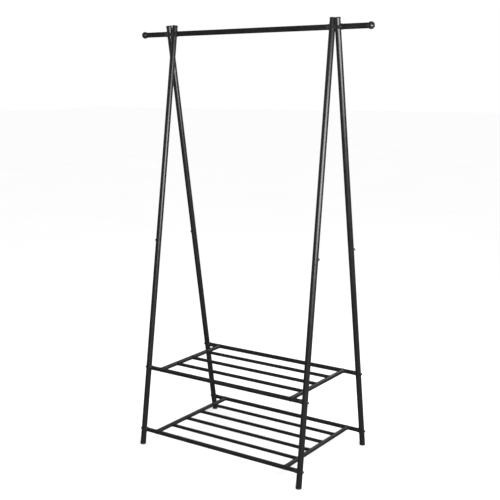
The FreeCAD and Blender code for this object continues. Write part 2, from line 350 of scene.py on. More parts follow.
def new_group(name: str, inputs: dict[str, str], outputs: dict[str, str]) -> OpenGroup:
    """Open a shader node group.

    Args:
        name: name of the group.
        inputs: socket type of each input, by name.
        outputs: socket type of each output, by name.

    Returns:
        The group, ready to be filled.
    """
    group = bpy.data.node_groups.new(name, "ShaderNodeTree")
    for direction, sockets in (("INPUT", inputs), ("OUTPUT", outputs)):
        for socket_name, kind in sockets.items():
            group.interface.new_socket(name=socket_name, in_out=direction, socket_type=kind)
    desk = NodeDesk(group)
    given = desk.add("NodeGroupInput").outputs
    out = desk.add("NodeGroupOutput").inputs
    return OpenGroup(group, desk, given, out, desk.add("ShaderNodeTexCoord").outputs["Object"])


VALUE = "NodeSocketFloat"
COLOUR = "NodeSocketColor"


class SharedEffects:
    """Node groups that more than one finish uses, each built once."""

    def __init__(self) -> None:
        """Build every group."""
        self.relief = self._relief()
        self.drift = self._drift()
        self.edge_rub = self._edge_rub()
        self.dust = self._dust()
        self.scratches = self._scratches()

    @staticmethod
    def _relief() -> bpy.types.NodeTree:
        """Soft waves with a finer grain on them, as sprayed or moulded surfaces have."""
        inputs = {"Wave scale": VALUE, "Grain scale": VALUE, "Grain share": VALUE}
        tree, desk, given, out, places = new_group("relief", inputs, {"Height": VALUE})
        waves = desk.noise(places, 1.0, 2.0, 0.55)
        grain = desk.noise(places, 1.0, 1.0, 0.4)
        desk.link(given["Wave scale"], waves.node.inputs["Scale"])
        desk.link(given["Grain scale"], grain.node.inputs["Scale"])
        share = desk.sum("MULTIPLY", grain, given["Grain share"])
        desk.link(desk.sum("ADD", waves, share), out["Height"])
        return tree

    @staticmethod
    def _drift() -> bpy.types.NodeTree:
        """Slow change of tone over a surface."""
        inputs = {"Colour": COLOUR, "Second colour": COLOUR, "Scale": VALUE, "Amount": VALUE}
        tree, desk, given, out, places = new_group("tone_drift", inputs, {"Colour": COLOUR, "Drift": VALUE})
        cloud = desk.noise(places, 1.0, 4.0, 0.6)
        desk.link(given["Scale"], cloud.node.inputs["Scale"])
        drift = desk.window(cloud, 0.3, 0.7)
        share = desk.sum("MULTIPLY", drift, given["Amount"], clamp=True)
        desk.link(desk.blend(share, given["Colour"], given["Second colour"]), out["Colour"])
        desk.link(drift, out["Drift"])
        return tree

    @staticmethod
    def _edge_rub() -> bpy.types.NodeTree:
        """Rubbed edges: where a rounded normal leaves the true one, broken up by noise."""
        inputs = {"Colour": COLOUR, "Rubbed colour": COLOUR, "Width": VALUE, "Amount": VALUE}
        tree, desk, given, out, places = new_group("edge_rub", inputs, {"Colour": COLOUR, "Mask": VALUE})
        soft = desk.add("ShaderNodeBevel", samples=4)
        desk.link(given["Width"], soft.inputs["Radius"])
        dot = desk.add("ShaderNodeVectorMath", operation="DOT_PRODUCT")
        desk.link(soft.outputs["Normal"], dot.inputs[0])
        desk.link(desk.add("ShaderNodeNewGeometry").outputs["Normal"], dot.inputs[1])
        edge = desk.window(desk.sum("SUBTRACT", 1.0, dot.outputs["Value"]), 0.02, 0.22)
        patches = desk.window(desk.noise(places, 260.0, 4.0, 0.65), 0.42, 0.68)
        mask = desk.sum("MULTIPLY", desk.sum("MULTIPLY", edge, patches), given["Amount"], clamp=True)
        desk.link(desk.blend(mask, given["Colour"], given["Rubbed colour"]), out["Colour"])
        desk.link(mask, out["Mask"])
        return tree

    @staticmethod
    def _dust() -> bpy.types.NodeTree:
        """Fine dust on surfaces that face up."""
        inputs = {"Colour": COLOUR, "Dust colour": COLOUR, "Amount": VALUE}
        tree, desk, given, out, places = new_group("settled_dust", inputs, {"Colour": COLOUR, "Mask": VALUE})
        split = desk.add("ShaderNodeSeparateXYZ")
        desk.link(desk.add("ShaderNodeNewGeometry").outputs["Normal"], split.inputs[0])
        upward = desk.window(split.outputs["Z"], 0.35, 1.0)
        patches = desk.window(desk.noise(places, 35.0, 3.0, 0.6), 0.35, 0.75)
        specks = desk.window(desk.noise(places, 2400.0, 1.0), 0.6, 0.78)
        lying = desk.sum("MULTIPLY", patches, desk.sum("ADD", specks, 0.35, clamp=True))
        mask = desk.sum("MULTIPLY", desk.sum("MULTIPLY", lying, upward), given["Amount"], clamp=True)
        desk.link(desk.blend(mask, given["Colour"], given["Dust colour"]), out["Colour"])
        desk.link(mask, out["Mask"])
        return tree

    @staticmethod
    def _scratches() -> bpy.types.NodeTree:
        """Hairline scratches in two directions."""
        inputs = {"Scale": VALUE, "Amount": VALUE}
        tree, desk, given, out, places = new_group("scratches", inputs, {"Mask": VALUE})
        marks = []
        for turn_about, stretch in (((0.3, 0.2, 0.5), (0.04, 1.0, 1.0)),
                                    ((0.9, -0.4, -0.3), (1.0, 0.05, 1.0))):
            mapping = desk.add("ShaderNodeMapping")
            mapping.inputs["Rotation"].default_value = turn_about
            mapping.inputs["Scale"].default_value = stretch
            desk.link(places, mapping.inputs["Vector"])
            lines = desk.noise(mapping.outputs["Vector"], 1.0, 2.0, 0.5)
            desk.link(given["Scale"], lines.node.inputs["Scale"])
            marks.append(desk.window(lines, 0.66, 0.74))
        both = desk.sum("MAXIMUM", marks[0], marks[1])
        desk.link(desk.sum("MULTIPLY", both, given["Amount"], clamp=True), out["Mask"])
        return tree


@dataclass(frozen=True)
class Finish:
    """A surface finish: its colours, gloss and fine relief."""

    name: str
    colour: Colour
    second_colour: Colour               # that the tone drifts to
    rubbed_colour: Colour               # where edges are rubbed
    roughness: float
    metallic: float = 0.0
    specular: float = 0.5
    coat: float = 0.0
    drift_scale: float = 14.0           # patches per metre
    drift_amount: float = 0.6
    drift_roughness: float = 0.05
    rub_width: float = 0.6 * MM
    rub_amount: float = 0.3
    dust_amount: float = 0.12
    dust_colour: Colour = (0.30, 0.29, 0.28)
    wave_scale: float = 700.0           # relief waves per metre
    grain_scale: float = 3200.0
    grain_share: float = 0.35
    relief_strength: float = 0.12
    relief_height: float = 0.05 * MM
    scratch_scale: float = 900.0
    scratch_amount: float = 0.12
    rub_polish: float = 0.12            # that rubbed edges lose of their roughness
    dust_roughness: float = 0.4         # that dust adds
    scratch_roughness: float = 0.15     # that scratches add

    def build(self, effects: SharedEffects) -> bpy.types.Material:
        """Make the material.

        Args:
            effects: the shared node groups.

        Returns:
            The material, with the tone, edges, dust, scratches and relief in its nodes.
        """
        material = bpy.data.materials.new(self.name)
        material.use_nodes = True
        desk = NodeDesk(material.node_tree)
        shader = material.node_tree.nodes["Principled BSDF"]
        shader.inputs["Specular IOR Level"].default_value = self.specular
        shader.inputs["Metallic"].default_value = self.metallic
        shader.inputs["Coat Weight"].default_value = self.coat

        drift = self._placed(desk, effects.drift, {
            "Colour": (*self.colour, 1.0), "Second colour": (*self.second_colour, 1.0),
            "Scale": self.drift_scale, "Amount": self.drift_amount})
        rub = self._placed(desk, effects.edge_rub, {
            "Rubbed colour": (*self.rubbed_colour, 1.0), "Width": self.rub_width,
            "Amount": self.rub_amount})
        dust = self._placed(desk, effects.dust, {
            "Dust colour": (*self.dust_colour, 1.0), "Amount": self.dust_amount})
        scratch = self._placed(desk, effects.scratches, {
            "Scale": self.scratch_scale, "Amount": self.scratch_amount})
        relief = self._placed(desk, effects.relief, {
            "Wave scale": self.wave_scale, "Grain scale": self.grain_scale,
            "Grain share": self.grain_share})

        desk.link(drift.outputs["Colour"], rub.inputs["Colour"])
        desk.link(rub.outputs["Colour"], dust.inputs["Colour"])
        desk.link(dust.outputs["Colour"], shader.inputs["Base Color"])

        gloss = desk.sum("MULTIPLY_ADD", drift.outputs["Drift"], self.drift_roughness)
        gloss.node.inputs[2].default_value = self.roughness - self.drift_roughness / 2
        gloss = desk.sum("SUBTRACT", gloss, desk.sum("MULTIPLY", rub.outputs["Mask"], self.rub_polish))
        gloss = desk.sum("ADD", gloss, desk.sum("MULTIPLY", dust.outputs["Mask"], self.dust_roughness))
        scratched = desk.sum("MULTIPLY", scratch.outputs["Mask"], self.scratch_roughness)
        gloss = desk.sum("ADD", gloss, scratched, clamp=True)
        desk.link(gloss, shader.inputs["Roughness"])

        height = desk.sum("SUBTRACT", relief.outputs["Height"], scratch.outputs["Mask"])
        bump = desk.add("ShaderNodeBump")
        bump.inputs["Strength"].default_value = self.relief_strength
        bump.inputs["Distance"].default_value = self.relief_height
        desk.link(height, bump.inputs["Height"])
        desk.link(bump.outputs["Normal"], shader.inputs["Normal"])
        return material

    @staticmethod
    def _placed(desk: NodeDesk, group: bpy.types.NodeTree, values: dict[str, object]) -> bpy.types.Node:
        """Place a shared group in the material with this finish's own values."""
        node = desk.add("ShaderNodeGroup", node_tree=group)
        for name, value in values.items():
            node.inputs[name].default_value = value
        return node


POWDER_COAT = Finish(
    name="satin_black_powder_coat", colour=(0.0060, 0.0060, 0.0063), second_colour=(0.0095, 0.0095, 0.0100),
    rubbed_colour=(0.060, 0.058, 0.056), roughness=0.30, dust_amount=0.04, relief_strength=0.05)
RAIL_COAT = Finish(
    name="handled_black_powder_coat", colour=(0.0060, 0.0060, 0.0063), second_colour=(0.0110, 0.0108, 0.0106),
    rubbed_colour=(0.070, 0.068, 0.066), roughness=0.32, drift_scale=22.0, drift_roughness=0.09,
    scratch_scale=1300.0, scratch_amount=0.35, dust_amount=0.03, relief_strength=0.06)
CAP_PLASTIC = Finish(
    name="moulded_black_plastic", colour=(0.0130, 0.0130, 0.0135), second_colour=(0.0200, 0.0200, 0.0205),
    rubbed_colour=(0.045, 0.045, 0.045), roughness=0.46, wave_scale=1800.0, grain_scale=5200.0,
    grain_share=0.8, relief_strength=0.22)
FOOT_RUBBER = Finish(
    name="scuffed_black_rubber", colour=(0.0150, 0.0148, 0.0145), second_colour=(0.0260, 0.0250, 0.0240),
    rubbed_colour=(0.075, 0.072, 0.068), roughness=0.62, rub_amount=0.6, dust_amount=0.3,
    wave_scale=1200.0, grain_scale=4200.0, grain_share=1.0, relief_strength=0.3)
BALL_PLASTIC = Finish(
    name="glossy_black_plastic", colour=(0.0080, 0.0080, 0.0085), second_colour=(0.0120, 0.0120, 0.0125),
    rubbed_colour=(0.035, 0.035, 0.035), roughness=0.20, coat=0.25, relief_strength=0.05,
    scratch_amount=0.3)
SPACER_PLASTIC = Finish(
    name="satin_black_nylon", colour=(0.0120, 0.0120, 0.0125), second_colour=(0.0190, 0.0190, 0.0190),
    rubbed_colour=(0.050, 0.050, 0.050), roughness=0.34, wave_scale=1500.0, grain_scale=4800.0,
    relief_strength=0.15)
SCREW_STEEL = Finish(
    name="black_oxide_steel", colour=(0.0400, 0.0400, 0.0420), second_colour=(0.0700, 0.0690, 0.0680),
    rubbed_colour=(0.420, 0.410, 0.400), roughness=0.33, metallic=0.7, rub_width=0.35 * MM,
    rub_amount=0.7, wave_scale=2600.0, grain_scale=7000.0, scratch_scale=2600.0, scratch_amount=0.5)
ZINC_STEEL = Finish(
    name="zinc_plated_steel", colour=(0.560, 0.555, 0.520), second_colour=(0.660, 0.650, 0.600),
    rubbed_colour=(0.780, 0.770, 0.740), roughness=0.34, metallic=1.0, drift_scale=160.0,
    dust_amount=0.0, scratch_scale=2200.0, scratch_amount=0.4)


@dataclass
class Wardrobe:
    """All finishes, made once and handed out by name."""

    effects: SharedEffects = field(default_factory=SharedEffects)
    made: dict[str, bpy.types.Material] = field(default_factory=dict)

    def wear(self, finish: Finish) -> bpy.types.Material:
        """Material of a finish."""
        if finish.name not in self.made:
            self.made[finish.name] = finish.build(self.effects)
        return self.made[finish.name]


# ---------------------------------------------------------------- places in the frame
def middle_of(node: str) -> Vector:
    """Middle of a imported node's box."""
    low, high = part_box(node)
    return (low + high) / 2


@dataclass
class LegLine:
    """Axis of one leg, read from its foot mount and the box of its upper tube."""

    side: Side
    end: End
    foot: Vector = field(init=False)
    direction: Vector = field(init=False)

    def __post_init__(self) -> None:
        """Read the two points that the axis passes through."""
        mounts = {mount["name"]: mount for mount in frame["record"]["mounts"]}
        self.foot = Vector(mounts[f"foot_{self.place}"]["pos_m"])
        self.direction = (middle_of(f"upper_leg_{self.place}") - self.foot).normalized()

    @property
    def place(self) -> str:
        """Name of the corner, such as front_left."""
        return f"{self.end.name.lower()}_{self.side.name.lower()}"

    @property
    def lean(self) -> float:
        """Sine of the angle between the leg and the vertical."""
        return math.sqrt(1.0 - self.direction.z ** 2)

    def at(self, height: float) -> Vector:
        """Point of the axis at a height."""
        return self.foot + self.direction * (height / self.direction.z)

    def outward(self) -> Vector:
        """Direction square to the leg that points away from the rack along X."""
        away = Vector((float(self.side.value), 0.0, 0.0))
        return (away - self.direction * away.dot(self.direction)).normalized()

    def envelope(self) -> bpy.types.Object:
        """Bar of the leg's outside, to cut saddles with."""
        top = self.foot + self.direction * (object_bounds()[1].z + OVERRUN)
        return bar(self.foot - self.direction * OVERRUN, top, LEG_RADIUS, Leg.sides)


# ---------------------------------------------------------------- fasteners
@dataclass
class ButtonScrew:
    """Button-head screw with a hex socket, its head standing on +Z and its shank on -Z."""

    head: float
    height: float
    socket: float
    shank: float
    length: float
    rim_share: float = 0.16             # straight rim, over the head's height
    crown_share: float = 0.20           # flat crown's radius, over the head's diameter
    tip_share: float = 0.2              # tip chamfer, over the shank's diameter
    socket_share: float = 0.62          # socket depth, over the head's height
    dome_steps: int = 9
    sides: int = 48

    def build(self, name: str) -> bpy.types.Object:
        """Turn the screw and sink its socket."""
        rim = self.height * self.rim_share
        crown = self.head * self.crown_share
        tip = self.shank * self.tip_share
        dome = []
        for step in range(self.dome_steps + 1):
            angle = math.radians(90.0 * step / self.dome_steps)
            dome.append((crown + (self.head / 2 - crown) * math.cos(angle),
                         rim + (self.height - rim) * math.sin(angle)))
        foot_round = rounded((self.head / 2 - rim * 0.6, rim * 0.6), rim * 0.6, -90.0, 0.0, 3)
        rings = [(self.shank / 2 - tip, -self.length), (self.shank / 2, tip - self.length),
                 (self.shank / 2, 0.0), *foot_round, *dome]
        screw = turn(name, rings, self.sides, hollow=False)
        depth = self.height * self.socket_share
        bpy.ops.object.select_all(action="DESELECT")
        bpy.ops.mesh.primitive_cylinder_add(vertices=6, radius=self.socket / math.sqrt(3.0),
                                            depth=depth * 2, location=(0.0, 0.0, self.height))
        carve(screw, bpy.context.object)
        return screw


# ---------------------------------------------------------------- legs
@dataclass
class Leg:
    """One leg: two tubes joined by a swaged spigot, a plug cap and a plug-in foot."""

    line: LegLine
    wardrobe: Wardrobe
    radius: float = LEG_RADIUS
    wall: float = 1.2 * MM
    packed_edge: float = 0.4 * MM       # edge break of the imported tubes
    edge: float = 0.55 * MM             # rounding of the tube ends
    spigot_length: float = 60.0 * MM
    spigot_clearance: float = 0.05 * MM
    swage: float = 5.0 * MM
    cap_lip: float = 10.3 * MM
    cap_thickness: float = 1.8 * MM
    cap_round: float = 0.9 * MM
    plug_length: float = 14.0 * MM
    plug_wall: float = 1.6 * MM
    fit: float = 0.1 * MM
    foot_edge: float = 0.5 * MM
    foot_round: float = 1.5 * MM
    screw_above_seam: float = 20.0 * MM
    sides: ClassVar[int] = 64

    def build(self) -> None:
        """Make and dress every piece of the leg but its joint screw."""
        self._upper_tube()
        self._lower_tube()
        self._top_cap()
        self._foot_cap()

    @property
    def seam(self) -> float:
        """Distance along the axis to the seam between the two tubes."""
        low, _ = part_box(f"upper_leg_{self.line.place}")
        return (low.z + (self.radius - self.packed_edge) * self.line.lean) / self.line.direction.z

    @property
    def top(self) -> float:
        """Distance along the axis to the upper tube's top end."""
        _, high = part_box(f"upper_leg_{self.line.place}")
        return (high.z - (self.radius - self.packed_edge) * self.line.lean) / self.line.direction.z

    @property
    def start(self) -> float:
        """Distance along the axis to the lower tube's end, in the foot cap."""
        low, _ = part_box(f"lower_leg_{self.line.place}")
        return (low.z + self.radius * self.line.lean) / self.line.direction.z

    def _stand(self, piece: bpy.types.Object) -> bpy.types.Object:
        """Stand a turned piece on the leg's axis, with its zero at the floor."""
        return settle(piece, along_axis(self.line.foot, self.line.direction))

    def _upper_tube(self) -> None:
        """Plain tube from the seam to the cap."""
        node = f"upper_leg_{self.line.place}"
        rings = tube_rings(self.seam, self.top, self.radius, self.radius - self.wall, self.edge)
        tube = self._stand(turn(f"{node}_tube", rings, self.sides, hollow=True))
        hand_over(tube, Slot.COAT, self.wardrobe.wear(POWDER_COAT), node)

    def _lower_tube(self) -> None:
        """Tube from the foot to the seam, drawn in to a spigot."""
        node = f"lower_leg_{self.line.place}"
        bore = self.radius - self.wall
        spigot = bore - self.spigot_clearance
        tip = self.seam + self.spigot_length
        rings = [(bore, self.start), (self.radius, self.start),
                 (self.radius, self.seam - self.edge - SUPPORT)]
        rings += rounded((self.radius - self.edge, self.seam - self.edge), self.edge, 0.0, 90.0)
        rings += [(spigot, self.seam), (spigot, tip - self.edge), (spigot - self.edge, tip),
                  (spigot - self.wall, tip), (spigot - self.wall, self.seam - self.wall),
                  (bore, self.seam - self.swage)]
        tube = self._stand(turn(f"{node}_tube", rings, self.sides, hollow=True))
        hand_over(tube, Slot.COAT, self.wardrobe.wear(POWDER_COAT), node)

    def _top_cap(self) -> None:
        """Plug cap with a rounded lip, a slight dome and the mark of its moulding gate."""
        node = f"leg_top_cap_{self.line.place}"
        plug = self.radius - self.wall - self.fit
        hollow = plug - self.plug_wall
        face = self.top + self.cap_thickness
        sag = 0.12 * MM
        gate = 0.8 * MM
        rings = [(gate, self.top - self.plug_wall), (hollow, self.top - self.plug_wall),
                 (hollow, self.top - self.plug_length), (plug, self.top - self.plug_length),
                 (plug, self.top)]
        rings += rounded((self.cap_lip - 0.2 * MM, self.top + 0.2 * MM), 0.2 * MM, -90.0, 0.0, 2)
        lip_centre = (self.cap_lip - self.cap_round, face - sag - self.cap_round)
        rings += rounded(lip_centre, self.cap_round, 0.0, 80.0, 6)
        rings += [(self.cap_lip * 0.6, face - sag * 0.35), (self.cap_lip * 0.25, face),
                  (gate * 1.3, face), (gate, face - sag)]
        cap = self._stand(turn(f"{node}_plug", rings, self.sides, hollow=False))
        hand_over(cap, Slot.CAP, self.wardrobe.wear(CAP_PLASTIC), node)

    def _foot_cap(self) -> None:
        """Moulded plug-in foot: a plug inside the tube, a level base with a hollowed tread."""
        node = f"foot_cap_{self.line.place}"
        outer = self.cap_lip
        plug = self.radius - self.wall - self.fit
        hollow = plug - self.plug_wall
        rings = [(1.0 * MM, self.start), (hollow, self.start), (hollow, self.start + self.plug_length),
                 (plug, self.start + self.plug_length), (plug, self.start)]
        rings += rounded((outer - self.foot_edge, self.start - self.foot_edge), self.foot_edge, 90.0, 0.0)
        rings += [(outer, -self.radius), (outer * 0.1, -self.radius)]
        foot = self._stand(turn(f"{node}_foot", rings, self.sides, hollow=False))
        self._tread(foot)
        hand_over(foot, Slot.FOOT, self.wardrobe.wear(FOOT_RUBBER), node)

    def _tread(self, foot: bpy.types.Object) -> None:
        """Cut the foot level with the floor, round its edge and hollow the tread."""
        floor_band = 0.01 * MM
        take(foot)
        bpy.ops.object.mode_set(mode="EDIT")
        bpy.ops.mesh.select_all(action="SELECT")
        bpy.ops.mesh.bisect(plane_co=(0.0, 0.0, 0.0), plane_no=(0.0, 0.0, 1.0),
                            use_fill=True, clear_inner=True)
        pick(foot, lambda place: place.z < floor_band)
        bpy.ops.mesh.bevel(offset=self.foot_round, segments=5, affect="EDGES")
        pick(foot, lambda place: place.z < floor_band)
        bpy.ops.mesh.inset(thickness=1.6 * MM)
        bpy.ops.transform.translate(value=(0.0, 0.0, 0.6 * MM))
        bpy.ops.mesh.select_all(action="SELECT")
        bpy.ops.mesh.normals_make_consistent(inside=False)
        bpy.ops.object.mode_set(mode="OBJECT")


@dataclass
class JointScrews:
    """The four screws that hold the upper tubes on their spigots."""

    legs: list[Leg]
    wardrobe: Wardrobe
    screw: ButtonScrew = field(default_factory=lambda: ButtonScrew(
        head=10.5 * MM, height=3.3 * MM, socket=4.0 * MM, shank=5.9 * MM, length=8.3 * MM))

    def build(self) -> None:
        """Model one screw and set a copy on the outer side of each leg."""
        pattern = self.screw.build("joint_screw_pattern")
        placed = []
        for leg in self.legs:
            axis_point = leg.line.foot + leg.line.direction * (leg.seam + leg.screw_above_seam)
            outward = leg.line.outward()
            copy = copied(pattern, f"joint_screw_{leg.line.place}")
            placed.append(settle(copy, along_axis(axis_point + outward * leg.radius, outward)))
        bpy.data.objects.remove(pattern)
        hand_over(joined("leg_joint_screw_set", placed), Slot.SCREW,
                  self.wardrobe.wear(SCREW_STEEL), "leg_joint_screws")


# ---------------------------------------------------------------- saddle spacers
@dataclass
class SaddleSpacer:
    """Moulded collar between a tube's end and a leg, with a spigot in the tube."""

    tube_radius: float
    tube_bore: float
    bore: float
    lip: float = 0.8 * MM
    spigot: float = 3.0 * MM
    fit: float = 0.1 * MM
    edge: float = 0.7 * MM
    groove_start: float = 2.4 * MM      # from the tube's end
    groove_bevel: float = 0.3 * MM
    groove_width: float = 0.4 * MM
    groove_depth: float = 0.35 * MM
    sides: int = 56

    def build(self, name: str, tube_end: Vector, line: LegLine) -> bpy.types.Object:
        """Turn the collar and hollow its saddle.

        Args:
            name: name of the piece.
            tube_end: middle of the tube's end.
            line: the leg that it seats on.

        Returns:
            The spacer in its place.
        """
        seat = line.at(tube_end.z)
        reach = (seat - tube_end).length
        outer = self.tube_radius + self.lip
        plug = self.tube_bore - self.fit
        groove = outer - self.groove_depth
        groove_low = self.groove_start + self.groove_bevel
        groove_high = groove_low + self.groove_width
        rings = [(self.bore, -self.spigot), (plug - self.fit, -self.spigot),
                 (plug, self.fit - self.spigot), (plug, 0.0)]
        rings += rounded((outer - self.edge, self.edge), self.edge, -90.0, 0.0, 5)
        rings += [(outer, self.groove_start), (groove, groove_low), (groove, groove_high),
                  (outer, groove_high + self.groove_bevel), (outer, reach), (self.bore, reach)]
        spacer = turn(name, rings, self.sides, hollow=True)
        settle(spacer, along_axis(tube_end, seat - tube_end))
        carve(spacer, line.envelope())
        return spacer


# ---------------------------------------------------------------- straight tubes
@dataclass(frozen=True)
class TubeSection:
    """Section of a tube and the number of sides that it is turned with."""

    radius: float
    wall: float
    sides: int


def straight_tube(node: str, section: TubeSection, edge: float, material: bpy.types.Material) -> None:
    """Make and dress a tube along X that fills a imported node's box.

    Args:
        node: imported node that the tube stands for.
        section: the tube's section.
        edge: radius of its rounded ends.
        material: what it wears.
    """
    low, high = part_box(node)
    half = (high.x - low.x) / 2
    rings = tube_rings(-half, half, section.radius, section.radius - section.wall, edge)
    tube = turn(f"{node}_tube", rings, section.sides, hollow=True)
    settle(tube, along_axis((low + high) / 2, ALONG_X))
    hand_over(tube, Slot.COAT, material, node)


# ---------------------------------------------------------------- hanging rail
@dataclass
class HangingRail:
    """Rail between the A-frames, its end stubs, balls and the spacers at the crossings."""

    lines: dict[tuple[Side, End], LegLine]
    wardrobe: Wardrobe
    wall: float = 1.2 * MM
    edge: float = 0.6 * MM
    stud_hole: float = 4.3 * MM
    neck: float = 7.5 * MM
    neck_length: float = 0.8 * MM
    plug_length: float = 16.0 * MM
    saddle: float = 9.0 * MM
    pole: float = 86.5                  # degrees up the ball where its moulding mark starts
    sides: int = 64

    def build(self) -> None:
        """Make and dress every piece of the rail."""
        section = TubeSection(self.radius, self.wall, self.sides)
        coat = self.wardrobe.wear(RAIL_COAT)
        straight_tube("hanging_rail", section, self.edge, coat)
        for side in Side:
            straight_tube(f"end_stub_{side.name.lower()}", section, self.edge, coat)
            self._ball(side)
        self._spacers("rail_inner_spacers", End.FRONT)
        self._spacers("rail_outer_spacers", End.BACK)
        self._crossing_saddles()

    @property
    def radius(self) -> float:
        """Outer radius of the rail's tube."""
        low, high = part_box("hanging_rail")
        return (high.z - low.z) / 2

    def _ball(self, side: Side) -> None:
        """Ball finial with a narrow neck, a plug in the stub and a moulding mark at its pole."""
        node = f"end_ball_{side.name.lower()}"
        low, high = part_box(node)
        radius = (high.z - low.z) / 2
        axis = middle_of("hanging_rail")
        outer = high.x if side is Side.RIGHT else low.x
        neck_seat = math.sqrt(radius ** 2 - self.neck ** 2)
        stub_end = Vector((outer - side.value * (radius + neck_seat + self.neck_length), axis.y, axis.z))
        centre = self.neck_length + neck_seat
        plug = self.radius - self.wall - 0.1 * MM
        first = -math.degrees(math.asin(neck_seat / radius))
        rings = [(plug - 0.5 * MM, -self.plug_length), (plug, 0.5 * MM - self.plug_length), (plug, 0.0)]
        rings += rounded((self.neck - 0.2 * MM, 0.2 * MM), 0.2 * MM, -90.0, 0.0, 2)
        rings += rounded((0.0, centre), radius, first, self.pole, 30)
        rings.append((rings[-1][0] * 0.85, rings[-1][1] - 0.1 * MM))
        ball = turn(f"{node}_finial", rings, self.sides, hollow=False)
        settle(ball, along_axis(stub_end, Vector((float(side.value), 0.0, 0.0))))
        hand_over(ball, Slot.BALL, self.wardrobe.wear(BALL_PLASTIC), node)

    def _spacers(self, node: str, end: End) -> None:
        """Spacers from the rail to the front legs, or from the stubs to the back legs."""
        parts = []
        pattern = SaddleSpacer(self.radius, self.radius - self.wall, self.stud_hole)
        for side in Side:
            tube_node = "hanging_rail" if end is End.FRONT else f"end_stub_{side.name.lower()}"
            low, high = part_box(tube_node)
            near_high = (side is Side.RIGHT) == (end is End.FRONT)
            middle = (low + high) / 2
            tube_end = Vector((high.x if near_high else low.x, middle.y, middle.z))
            name = f"{node}_{side.name.lower()}"
            parts.append(pattern.build(name, tube_end, self.lines[side, end]))
        hand_over(joined(f"{node}_set", parts), Slot.SPACER, self.wardrobe.wear(SPACER_PLASTIC), node)

    def _crossing_saddles(self) -> None:
        """Spacer between the crossed legs of each A-frame, hollowed to both of them."""
        parts = []
        height = middle_of("hanging_rail").z
        for side in Side:
            near, far = (self.lines[side, end].at(height) for end in End)
            rings = [(self.stud_hole, 0.0), (self.saddle, 0.0), (self.saddle, (far - near).length),
                     (self.stud_hole, (far - near).length)]
            saddle = turn(f"crossing_saddle_{side.name.lower()}", rings, self.sides, hollow=True)
            settle(saddle, along_axis(near, far - near))
            for end in End:
                carve(saddle, self.lines[side, end].envelope())
            parts.append(saddle)
        hand_over(joined("crossing_saddle_set", parts), Slot.SPACER,
                  self.wardrobe.wear(SPACER_PLASTIC), "crossing_saddles")


